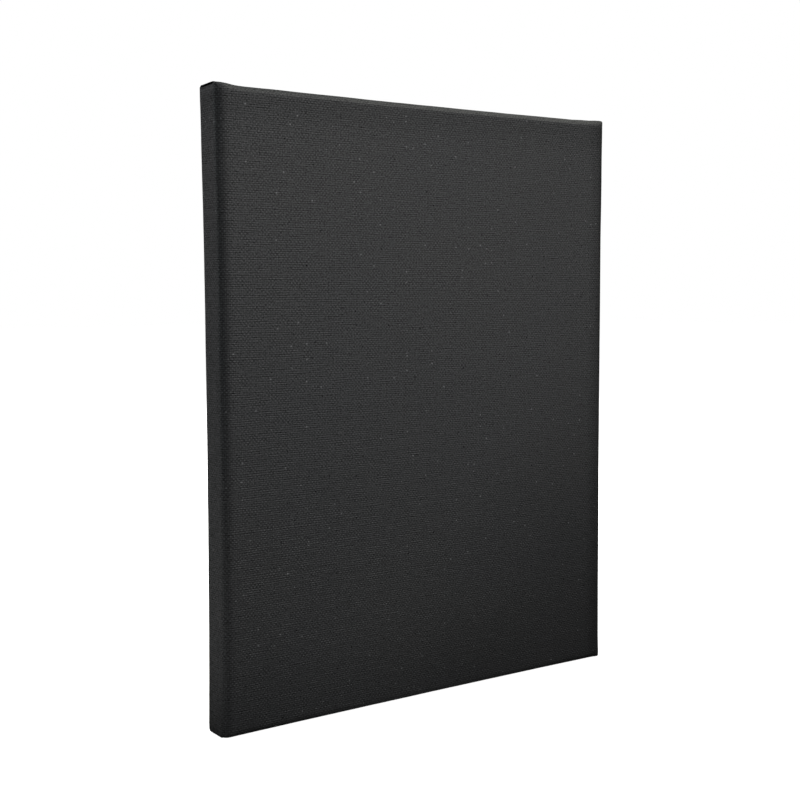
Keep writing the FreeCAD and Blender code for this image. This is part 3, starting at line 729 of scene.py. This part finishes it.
def cloth_rings(w, corner_profile, ring_specs):
    """Rings of border points: kind 'side', 'turn' or 'flap', depth y, depth share d, inset from the outer edge.
    corner_profile(spec, corner) gives the 2k + 1 corner points."""
    rings = []
    o, k = w.off, w.k
    for spec in ring_specs:
        pts, uv, tan = np.zeros((w.count, 3)), np.zeros((w.count, 3)), np.zeros((w.count, 3))
        d, q0, y, run = spec["d"], spec.get("inset", 0.0), spec["y"], spec["run"]
        flat, lift, cut = spec.get("flat", 0.0), spec.get("lift"), spec.get("cut")
        on_back = spec["kind"] == "flap"
        cache = {}
        for i, (what, ks, kt, order) in enumerate(w.part):
            sx = {"left": -1, "right": 1}.get(ks, 0)
            sz = {"bottom": -1, "top": 1}.get(kt, 0)
            xb, zb = w.x_border[i], w.z_border[i]
            if what == "side":
                zz = zb
                for lv in ("top", "bottom"):
                    dz = float(level_z(lv, sx * W_CORNER[ks], d) - level_z(lv, sx * W_CORNER[ks], 0.0))
                    zz = zz + dz * float(smooth(24.0, 0.0, abs(Z_CORNER[lv] - zb) - 4.1))
                x_edge = float(side_x(ks, zz, d)) - o
                zz = MID_Z + (zz - MID_Z) * (1 - q0 / (HALF_H - 4.1))
                q = q0 * (cut(ks, zz) if cut else 1.0)
                pts[i] = (sx * (x_edge - q), y, zz)
                uv[i] = (sx * (W_CORNER[ks] + ROUND[ks][3][-1] + run), zb, 1.0)
                tan[i] = (-1, 0, 0) if on_back else (0, sx, 0)
                if lift:
                    pts[i, 1] += lift("side", ks, None, zz, 0.0, q)
            elif what == "level":
                z_edge = float(level_z(kt, xb, d))
                z_edge = z_edge * (1 - flat) + flat * (TOP_MID if sz > 0 else BOT_MID)
                xx = xb * (1 - q0 / (HALF_W - 5.1))
                q = q0 * (cut(kt, xx) if cut else 1.0)
                pts[i] = (xx, y, z_edge - sz * (o + q))
                uv[i] = (xb, Z_CORNER[kt] + sz * (ROUND[kt][3][-1] + run), 2.0)
                tan[i] = (1, 0, 0)
                if lift:
                    pts[i, 1] += lift("level", None, kt, xx, HALF_W - abs(xx), q)
            else:
                key = (ks, kt)
                if key not in cache:
                    cache[key] = corner_profile(spec, key)
                point = cache[key][order]
                xi, zeta = point[0], point[1]
                x_edge = float(side_x(ks, Z_CORNER[kt] - sz * 4.1, d))
                z_edge = float(level_z(kt, sx * (x_edge - max(xi, 0.0)), d))
                z_edge = z_edge * (1 - flat) + flat * (TOP_MID if sz > 0 else BOT_MID)
                pts[i] = (sx * (x_edge - o - xi - q0), y + (point[2] if len(point) > 2 else 0.0), z_edge - sz * (o + zeta + q0))
                if order <= k:
                    uv[i] = (sx * (W_CORNER[ks] + ROUND[ks][3][-1] + run), zb - sz * 0.6 * max(0.0, 1.2 - zeta), 1.0)
                    tan[i] = (-1, 0, 0) if on_back else (0, sx, 0)
                else:
                    uv[i] = (xb, Z_CORNER[kt] + sz * (ROUND[kt][3][-1] + run), 2.0)
                    tan[i] = (1, 0, 0)
        rings.append((pts, uv, tan))
    return rings


def sheet_faces(w, base_grid, ring_bases, flip=False):
    faces = []
    ns, nt = w.ns, w.nt
    if base_grid is not None:
        idx = base_grid + np.arange((ns + 1) * (nt + 1)).reshape(nt + 1, ns + 1)
        a, b, c, d = idx[:-1, :-1], idx[:-1, 1:], idx[1:, 1:], idx[1:, :-1]
        q = np.stack([a, b, c, d], -1).reshape(-1, 4)
        faces.append(q)
        border = np.array([idx[t, s] for s, t in w.border])
    else:
        border = None
    previous = border
    for base in ring_bases:
        ring = base + np.arange(w.count)
        if previous is not None:
            p0, p1 = previous, np.roll(previous, -1)
            r0, r1 = ring, np.roll(ring, -1)
            faces.append(np.stack([p0, r0, r1, p1], -1))
        previous = ring
    out = np.concatenate(faces)
    return (out[:, ::-1] if flip else out), border, previous


def staple_places():
    """Crown centres of the CAD staples on each side: distance along the side."""
    places = {}
    for side in ("left", "right", "top", "bottom"):
        ob = nodes["staples_" + side]
        co = np.array([v.co for v in ob.data.vertices]) * 1000
        axis = 2 if side in ("left", "right") else 0
        top = co[co[:, 1] > co[:, 1].max() - 0.02]
        vals = np.sort(top[:, axis])
        groups = np.split(vals, np.where(np.diff(vals) > 12)[0] + 1)
        places[side] = (np.array([(g.min() + g.max()) / 2 for g in groups]), 3 - axis - 0)
    return {k: v[0] for k, v in places.items()}


STAPLES = staple_places()
STAPLE_IN = 9.5


def flap_lift(kind, ks, kt, pos, from_side, q):
    """The flap lies down under each crown and lifts a little between them; folded corners stand one layer higher."""
    side = ks if kind == "side" else kt
    near = np.min(np.abs(STAPLES[side] - pos))
    press = math.exp(-((near / 7.0) ** 2)) * math.exp(-(((q - STAPLE_IN) / 5.0) ** 2))
    puff = 0.16 * (0.5 + 0.5 * side_noise(pos, q * 2.0 + 400)) * (1 - math.exp(-((near / 16.0) ** 2)))
    edge = 0.22 * smooth(12, 18, q) * (0.5 + 0.5 * side_noise(pos * 1.6, 500.0)) * (1 - math.exp(-((near / 14.0) ** 2)))
    lift = puff * smooth(0.5, 4, q) + edge - 0.10 * press
    if kind == "level":
        lift += fold_height(from_side, q)
    return float(lift)


def fold_height(from_side, q):
    return 0.50 * float(1 - smooth(17.2, 18.8, from_side)) * float(smooth(0.0, 1.6, q))


def build_primed():
    w = Wrap(150, 188, 10, 0.0)
    k = w.k
    x, y, z, u, v, th_s, th_t, r = w.grid_points(Y_FACE)
    co = np.stack([x, y, z], -1).reshape(-1, 3)
    uv = np.stack([u, v, np.zeros_like(u)], -1).reshape(-1, 3)
    # The tangent along u turns with the surface on the side roundings.
    turn = np.where(np.abs(th_s) >= np.abs(th_t), th_s, 0.0)
    tan = np.stack([np.cos(turn), np.sin(np.abs(turn)) * np.sign(turn), np.zeros_like(turn)], -1).reshape(-1, 3)
    wear = smooth(0.25, 0.9, r).reshape(-1)
    bake = np.stack([(u - u.min()) / (u.max() - u.min()) * 0.70 + 0.004, (v - v.min()) / (v.max() - v.min()) * 0.86 + 0.004], -1).reshape(-1, 2)
    grid = w.add(co, uv, tan, wear, bake)

    y0 = Y_FACE + DEPTH
    y_back = Y_FLAP
    y1 = y_back - BACK_R
    specs = []
    depth = y1 - y0
    for f in (0.015, 0.055, 0.11, 0.18, 0.26, 0.35, 0.44, 0.53, 0.62, 0.71, 0.79, 0.87, 0.94, 1.0):
        specs.append(dict(kind="side", y=y0 + f * depth, d=f * 0.9, run=f * depth))
    for ang in (18, 36, 54, 72, 90):
        ra = math.radians(ang)
        specs.append(dict(kind="turn", y=y1 + BACK_R * math.sin(ra), d=0.9 + 0.1 * ang / 90, inset=BACK_R * (1 - math.cos(ra)), run=depth + BACK_R * ra, flat=ang / 90 * 0.35, lift=flap_lift, share=ang / 90))

    def cut(side, p):
        i = {"left": 0, "right": 1, "top": 2, "bottom": 3}[side]
        return 1.0 + 0.022 * float(cut_noise[i](p))

    for q in (1.9, 2.8, 4.0, 5.4, 6.8, 8.2, 9.6, 11.0, 12.4, 13.8, 15.2, 16.4, 17.3, 18.0):
        share = (q - BACK_R) / (FLAP - BACK_R)
        specs.append(dict(kind="flap", y=y_back, d=1.0, inset=q, run=depth + BACK_R * (math.pi / 2 - 1) + q, flat=0.35 + 0.65 * share, lift=flap_lift, cut=(lambda side, p, s=share: 1.0 + (cut(side, p) - 1.0) * s**2)))

    def reach(corner):
        return EDGES[corner[0]]["reach"], EDGES[corner[1]]["reach"]

    def profile(spec, corner):
        c = CORNERS[corner]
        a_s, a_t = reach(corner)
        if spec["kind"] == "side":
            f = (spec["y"] - y0) / depth
            if c.get("gape"):
                opened = 1 - 0.6 * smooth(0.8, 1.05, f)
                blend = float(smooth(-0.01, 0.014, f))
            else:
                opened = smooth(-0.02, 0.06, f) * (1 - 0.85 * smooth(0.55, 1.0, f))
                blend = float(smooth(-0.02, 0.05, f))
            shape = corner_mouth(k, a_s, a_t, max(c["mouth"] * opened, 0.04), **c.get("shape", {}))
            return corner_round(k, a_s, a_t, c.get("p")) * (1 - blend) + shape * blend
        back = back_corner(k, spec["inset"], a_s, a_t)
        if spec["kind"] == "turn":
            b = spec["share"]
            shape = corner_mouth(k, a_s, a_t, max(c["mouth"] * 0.15 * (1 - b), 0.04), **c.get("shape", {}))
            shape = np.concatenate([shape, np.zeros((2 * k + 1, 1))], 1)
            return shape * (1 - b) + back * b
        return back

    def back_corner(n, q, a_s, a_t):
        """On the back: the level flap's fold lies over the side flap along the diagonal."""
        h = 0.50 * float(smooth(0.0, 1.6, q))
        pts = []
        for i in range(n - 2):
            s = i / (n - 2)
            pts.append((0.0, a_t * (1 - s) + 0.3 * s, 0.0))
        pts += [(0.10, 0.05, 0.0), (0.60, -0.02, -0.02), (0.55, -0.02, 0.32 * h), (0.02, 0.0, 0.44 * h), (-0.10, 0.0, 0.72 * h), (0.02, 0.0, 0.94 * h), (0.25, 0.0, h)]
        rest = 2 * n + 1 - len(pts)
        for i in range(rest):
            s = (i + 1) / rest
            pts.append((0.25 + (a_s - 0.25) * s, 0.0, h))
        return np.array(pts)

    rings = cloth_rings(w, profile, specs)
    # Where each ring goes on the bake map: strips beside and above the face.
    bases = []
    total = specs[-1]["run"]
    for spec, (pts, uvs, tans) in zip(specs, rings):
        share = spec["run"] / total
        lay = np.zeros((w.count, 2))
        for i, ((s, t), (what, ks, kt, order)) in enumerate(zip(w.border, w.part)):
            if what == "side" or (what == "corner" and order <= k):
                lay[i] = ((0.712 if ks == "left" else 0.852) + 0.128 * share, 0.004 + 0.86 * t / w.nt)
            else:
                lay[i] = (0.004 + 0.70 * s / w.ns, (0.872 if kt == "bottom" else 0.937) + 0.056 * share)
        wear = np.full(w.count, 0.35 if spec["kind"] == "side" else 0.8 if spec["kind"] == "turn" else 0.1)
        bases.append(w.add(pts, uvs, tans, wear, lay))

    # Inside of the primed layer: from the cut edge back round to the face, a plain thin offset.
    thin = Wrap(150, 188, 10, PRIMED)
    gx, gy, gz, *_ = thin.grid_points(Y_FACE, noise=False)
    in_specs = []
    for q in (18.0, 16.8, 9.0, 2.0):
        in_specs.append(dict(kind="flap", y=y_back - PRIMED, d=1.0, inset=q, run=0.0, flat=0.35 + 0.65 * (q - BACK_R) / (FLAP - BACK_R)))
    for ang in (60, 0):
        ra = math.radians(ang)
        in_specs.append(dict(kind="turn", y=y1 + (BACK_R - PRIMED) * math.sin(ra), d=0.9, inset=(BACK_R - PRIMED) * (1 - math.cos(ra)), run=0.0, flat=ang / 90 * 0.35))
    for f in (0.5, 0.0):
        in_specs.append(dict(kind="side", y=y0 + f * depth, d=0.9, run=0.0))

    def inner_profile(spec, corner):
        a_s, a_t = reach(corner)
        return corner_round(k, a_s, a_t, 2.0)

    in_rings = cloth_rings(thin, inner_profile, in_specs)
    in_bases = []
    for n, (pts, uvs, tans) in enumerate(in_rings):
        lay = np.zeros((w.count, 2))
        lay[:, 0] = 0.985 + 0.001 * n
        lay[:, 1] = 0.90 + 0.09 * np.arange(w.count) / w.count
        if n == 0:  # the rim keeps to the cut edge of the outer layer
            pts = rings[-1][0].copy()
            pts[:, 1] -= PRIMED
        in_bases.append(w.add(pts, uvs, tans, 0.0, lay))
    # Inner rounding towards the face, then one flat closing face.
    inner_ids = []
    for level in (3, 6, 9, 10):
        ring = np.array([(gx[tt, ss], gy[tt, ss], gz[tt, ss]) for ss, tt in [(int(np.clip(i, level, w.ns - level)), int(np.clip(j, level, w.nt - level))) for i, j in w.border]])
        lay = np.zeros((w.count, 2))
        lay[:, 0] = 0.995
        lay[:, 1] = 0.90 + 0.09 * np.arange(w.count) / w.count
        inner_ids.append(w.add(ring, np.zeros((w.count, 3)), np.tile((1.0, 0, 0), (w.count, 1)), 0.0, lay))

    quads, border, last = sheet_faces(w, grid, bases + in_bases + inner_ids)
    faces = [tuple(f) for f in quads]
    closing = [int(i) for i in (inner_ids[-1] + np.arange(w.count))]
    co = np.concatenate(w.co)
    return w, co, faces, closing


def weld(co, faces, extra, tolerance=1e-4):
    """Merges points that fall together, and drops faces that lose their area."""
    key = np.round(co / tolerance).astype(np.int64)
    _, first, inverse = np.unique(key, axis=0, return_index=True, return_inverse=True)
    inverse = np.asarray(inverse).ravel()
    order = np.argsort(first)
    rank = np.empty_like(order)
    rank[order] = np.arange(len(order))
    new = rank[inverse]
    keep = first[order]
    out = []
    for f in faces:
        g = []
        for i in f:
            j = int(new[i])
            if j not in g:
                g.append(j)
        if len(g) >= 3:
            out.append(g)
    return co[keep], out, [e[keep] for e in extra], new


def primed_cloth():
    w, co, faces, closing = build_primed()
    uv, tan = np.concatenate(w.uv), np.concatenate(w.tan)
    wear, bake = np.concatenate(w.wear), np.concatenate(w.bake)
    co2, faces2, (uv, tan, wear, bake), new = weld(co, faces + [closing], [uv, tan, wear, bake])
    ob = make_mesh(
        "canvas_primed_cloth",
        co2,
        faces2,
        uv=bake,
        attributes={"weave_uv": ("FLOAT_VECTOR", uv), "weave_tangent": ("FLOAT_VECTOR", tan), "weave_wear": ("FLOAT", wear)},
    )
    ob.data.materials.append(MAT_PRIMED)
    return ob


def cotton_cloth():
    """The bare cotton behind the primer: a plain thin shell inside the primed layer, showing in the window of the frame
    and as a pale line along the cut edges on the back."""
    o1, o2 = PRIMED + 0.01, CLOTH - 0.01
    k = 5
    y0 = Y_FACE + DEPTH
    y1 = Y_FLAP - BACK_R

    def specs_for(o):
        specs = [dict(kind="side", y=y0 + f * (y1 - y0), d=0.95, run=0.0) for f in (0.5, 1.0)]
        r = BACK_R - o
        for ang in (45, 90):
            ra = math.radians(ang)
            specs.append(dict(kind="turn", y=y1 + r * math.sin(ra), d=1.0, inset=r * (1 - math.cos(ra)), run=0.0, flat=ang / 90 * 0.35))
        for q in (4.0, 10.0, 15.0, FLAP + 0.22):
            specs.append(dict(kind="flap", y=Y_FLAP - o, d=1.0, inset=q, run=0.0, flat=0.35 + 0.65 * (q - BACK_R) / (FLAP - BACK_R), cut=(lambda side, p, s=q / FLAP: 1.0 + 0.022 * float(cut_noise[{"left": 0, "right": 1, "top": 2, "bottom": 3}[side]](p)) * s**2)))
        return specs

    def soft_corner(spec, corner):
        # rounder than the primed layer, so that it stays behind the open pleats, and square again at the cut edge
        p = 1.6 + (1.3 * spec["inset"] if spec["kind"] == "flap" else 0.0)
        return corner_round(k, EDGES[corner[0]]["reach"], EDGES[corner[1]]["reach"], p)

    all_co, all_faces, ends = [], [], []
    base = 0
    for o, flip in ((o1, False), (o2, True)):
        w = Wrap(60, 76, k, o)
        x, y, z, *_ = w.grid_points(Y_FACE, noise=False)
        grid_co = np.stack([x, y, z], -1).reshape(-1, 3)
        rings = cloth_rings(w, soft_corner, specs_for(o))
        co = [grid_co] + [r[0] for r in rings]
        ring_bases = [base + len(grid_co) + i * w.count for i in range(len(rings))]
        quads, border, last = sheet_faces(w, base, ring_bases, flip=flip)
        all_co += co
        all_faces += [tuple(f) for f in quads]
        ends.append(last)
        base += sum(len(c) for c in co)
    a, b = ends
    for i in range(len(a)):
        j = (i + 1) % len(a)
        all_faces.append((a[i], b[i], b[j], a[j]))
    co = np.concatenate(all_co)
    co, all_faces, _, _ = weld(co, all_faces, [])
    uv = np.stack([co[:, 0], co[:, 2], np.zeros(len(co))], -1)
    tan = np.tile((-1.0, 0.0, 0.0), (len(co), 1))
    front = co[:, 1] < Y_FACE + DEPTH
    # Bake map: the face as seen from behind fills it, the rest is squeezed along the right edge.
    bake = np.stack([(co[:, 0] + 105) / 210 * 0.93, (co[:, 2] + 3) / 260], -1)
    bake[~front, 0] = 0.94 + 0.05 * np.clip((co[~front, 0] + 105) / 210, 0, 1)
    ob = make_mesh("canvas_raw_cotton", co, all_faces, uv=bake, attributes={"weave_uv": ("FLOAT_VECTOR", uv), "weave_tangent": ("FLOAT_VECTOR", tan)})
    ob.data.materials.append(MAT_COTTON)
    return ob


primed = primed_cloth()
cotton = cotton_cloth()
for piece in (primed, cotton):
    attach(piece, BODY)
    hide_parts("canvas_cloth")


# ---------------------------------------------------------------------------------------------
# wood and wire: the CAD nodes, with broken edges and their own materials
# ---------------------------------------------------------------------------------------------
def dress(node, material, bevel, segments=2, angle=30.0):
    ob = nodes[node]
    for slot in ob.material_slots:
        slot.material = material
    if not ob.material_slots:
        ob.data.materials.append(material)
    weldm = ob.modifiers.new("join", "WELD")
    weldm.merge_threshold = 2e-6
    b = ob.modifiers.new("broken_edges", "BEVEL")
    b.width = bevel * MM
    b.segments = segments
    b.limit_method = "ANGLE"
    b.angle_limit = math.radians(angle)
    b.harden_normals = True
    b.use_clamp_overlap = True


LIGHT_PINE, DARK_PINE = srgb(226, 200, 158), srgb(196, 152, 98)
for i, (side, axis) in enumerate((("bottom", "X"), ("right", "Z"), ("top", "X"), ("left", "Z"))):
    dress("stretcher_bar_" + side, wood_material("pine_" + side, axis, 40 + i, LIGHT_PINE, DARK_PINE, ring=2.6 + 0.5 * i), 0.25)
steel = steel_material()
for name in nodes:
    if name.startswith("key_"):
        axis = "Z" if name.endswith("upright") else "X"
        dress(name, wood_material(name + "_wood", axis, sum(map(ord, name)), srgb(222, 190, 142), srgb(188, 140, 88), ring=2.1, fuzz=1.4), 0.12)
    elif "staple" in name:
        dress(name, steel, 0.14, 3, 40.0)


# ---------------------------------------------------------------------------------------------
# floor, lights and camera
# ---------------------------------------------------------------------------------------------
def stage_floor():
    """A wide pale table: white to the camera, greyer to the light that bounces off it."""
    n, half = 24, 6000.0
    ticks = np.linspace(-1, 1, n + 1)
    ticks = np.sign(ticks) * np.abs(ticks) ** 2 * half
    gx, gy = np.meshgrid(ticks, ticks)
    co = np.stack([gx.ravel(), gy.ravel() + 600.0, np.zeros(gx.size)], -1)
    idx = np.arange(gx.size).reshape(gx.shape)
    faces = np.stack([idx[:-1, :-1], idx[:-1, 1:], idx[1:, 1:], idx[1:, :-1]], -1).reshape(-1, 4)
    ob = make_mesh("pale_table", co, faces)
    g = Graph("pale_paper")
    p = g.object_coords()
    n = g.noise(p, 3.0, 3.0, 0.5)
    seen = Sock(g, g.nt.nodes.new("ShaderNodeLightPath").outputs["Is Camera Ray"])
    pale = g.mix(g.span(n, 0.3, 0.7), (0.90, 0.90, 0.90), (0.93, 0.93, 0.93))
    g.set(Base_Color=g.mix(seen, (FLOOR_BOUNCE, FLOOR_BOUNCE, FLOOR_BOUNCE), pale), Roughness=0.95, Specular_IOR_Level=0.1)
    # The sheet is lit from behind as seen by the camera, like the paper of a light tent. To everything else it gives
    # back only a few soft pools of light.
    x, y, _ = g.split(p)
    pools = 0.0
    for px, py, rx, ry, strength in POOLS:
        away = g.v("LENGTH", g.xyz((x - px) * (1 / rx), (y - py) * (1 / ry), 0.0))
        pools = g.span(away, 0.7, 1.3, strength, 0.0, "SMOOTHSTEP") + pools
    g.put(g.bsdf.inputs["Emission Color"], (1.0, 1.0, 1.0))
    g.put(g.bsdf.inputs["Emission Strength"], seen * 0.97 + (1.0 - seen) * pools)
    ob.data.materials.append(g.mat)
    return ob


FLOOR_BOUNCE = 0.12
# Pools of light on the table: place, reach along x and y, strength.
POOLS = [
    (0.60, -0.65, 0.36, 0.36, 1.36),
    (1.20, -1.40, 0.70, 0.70, 0.55),
    (-0.22, -0.50, 0.30, 0.30, 0.12),
    (0.00, -0.14, 0.12, 0.12, 0.09),
    (0.00, -0.035, 0.115, 0.032, 0.08),
    (-0.30, 0.30, 0.25, 0.25, 0.16),
    (-0.65, 0.85, 0.40, 0.40, 0.45),
    (-0.24, 0.03, 0.12, 0.12, 0.38),
]
stage_floor()

# Soft boxes standing on a ring round the canvas: name, azimuth from the front (right positive), elevation, size m,
# watts, colour. The region left of the camera is kept dark, so the left front edge turns dark as it rounds.
BOXES = [
    ("box_front", 0, 14, 0.6, 1.42, (0.98, 0.97, 1.0)),
    ("box_front_right", 30, 14, 0.6, 2.50, (0.984, 0.992, 1.0)),
    ("box_high_left", -45, 46, 0.8, 2.70, (0.93, 0.95, 1.0)),
    ("box_high_right", 45, 46, 0.8, 3.12, (1.0, 0.995, 0.98)),
    ("box_side_right", 90, 46, 0.8, 2.50, (0.99, 1.0, 0.90)),
    ("box_side_left", -60, 14, 0.6, 0.38, (0.85, 0.95, 1.0)),
    ("box_back_left", -120, 14, 0.6, 1.46, (0.90, 0.97, 1.0)),
    ("box_far_back_left", -150, 14, 0.6, 0.48, (1.0, 0.94, 0.97)),
    ("box_overhead", 0, 82, 1.0, 3.70, (0.95, 1.0, 1.0)),
    ("box_behind", 178, 38, 1.2, 18.0, (1.0, 0.985, 0.965)),
]
TARGET = Vector((0.0, 0.0, 0.13))
for name, az, el, size, watts, colour in BOXES:
    data = bpy.data.lights.new(name, "AREA")
    data.shape, data.size = "SQUARE", size
    data.energy, data.color = watts, colour
    ob = bpy.data.objects.new(name, data)
    p, q = math.radians(az), math.radians(el)
    ob.location = TARGET + Vector((math.sin(p) * math.cos(q), -math.cos(p) * math.cos(q), math.sin(q))) * 1.3
    ob.rotation_euler = (TARGET - ob.location).to_track_quat("-Z", "Y").to_euler()
    ob.visible_camera = False
    if name == "box_behind":
        ob.visible_glossy = False
    bpy.context.scene.collection.objects.link(ob)

world = bpy.data.worlds.new("studio_air")
bpy.context.scene.world = world
world.use_nodes = True
wn = world.node_tree
wn.nodes.clear()
wo = wn.nodes.new("ShaderNodeOutputWorld")
bg_seen = wn.nodes.new("ShaderNodeBackground")
bg_seen.inputs[0].default_value = (1, 1, 1, 1)
bg_seen.inputs[1].default_value = 1.0
bg_lit = wn.nodes.new("ShaderNodeBackground")
bg_lit.inputs[0].default_value = (0.985, 1.0, 1.015, 1)
bg_lit.inputs[1].default_value = 0.04
mixw = wn.nodes.new("ShaderNodeMixShader")
lpw = wn.nodes.new("ShaderNodeLightPath")
wn.links.new(lpw.outputs["Is Camera Ray"], mixw.inputs[0])
wn.links.new(bg_lit.outputs[0], mixw.inputs[1])
wn.links.new(bg_seen.outputs[0], mixw.inputs[2])
wn.links.new(mixw.outputs[0], wo.inputs[0])

cam_data = bpy.data.cameras.new("camera")
cam_data.sensor_width = 36.0
cam_data.lens = 60.76
cam_data.shift_x, cam_data.shift_y = 0.15 / 800, -0.07 / 800
cam_data.clip_start, cam_data.clip_end = 0.01, 20.0
cam = bpy.data.objects.new("camera", cam_data)
cam_x = Vector((0.805703, -0.592309, -0.003444))
cam_y = Vector((0.048881, 0.060694, 0.996959))
cam_z = Vector((-0.590299, -0.803421, 0.077854))
rot = Matrix((cam_x, cam_y, cam_z)).transposed()
cam.matrix_world = Matrix.Translation(Vector((-0.352464, -0.463711, 0.17394))) @ rot.to_4x4()
bpy.context.scene.collection.objects.link(cam)
bpy.context.scene.camera = cam
bpy.context.scene.view_settings.view_transform = "Standard"
bpy.context.scene.view_settings.look = "None"
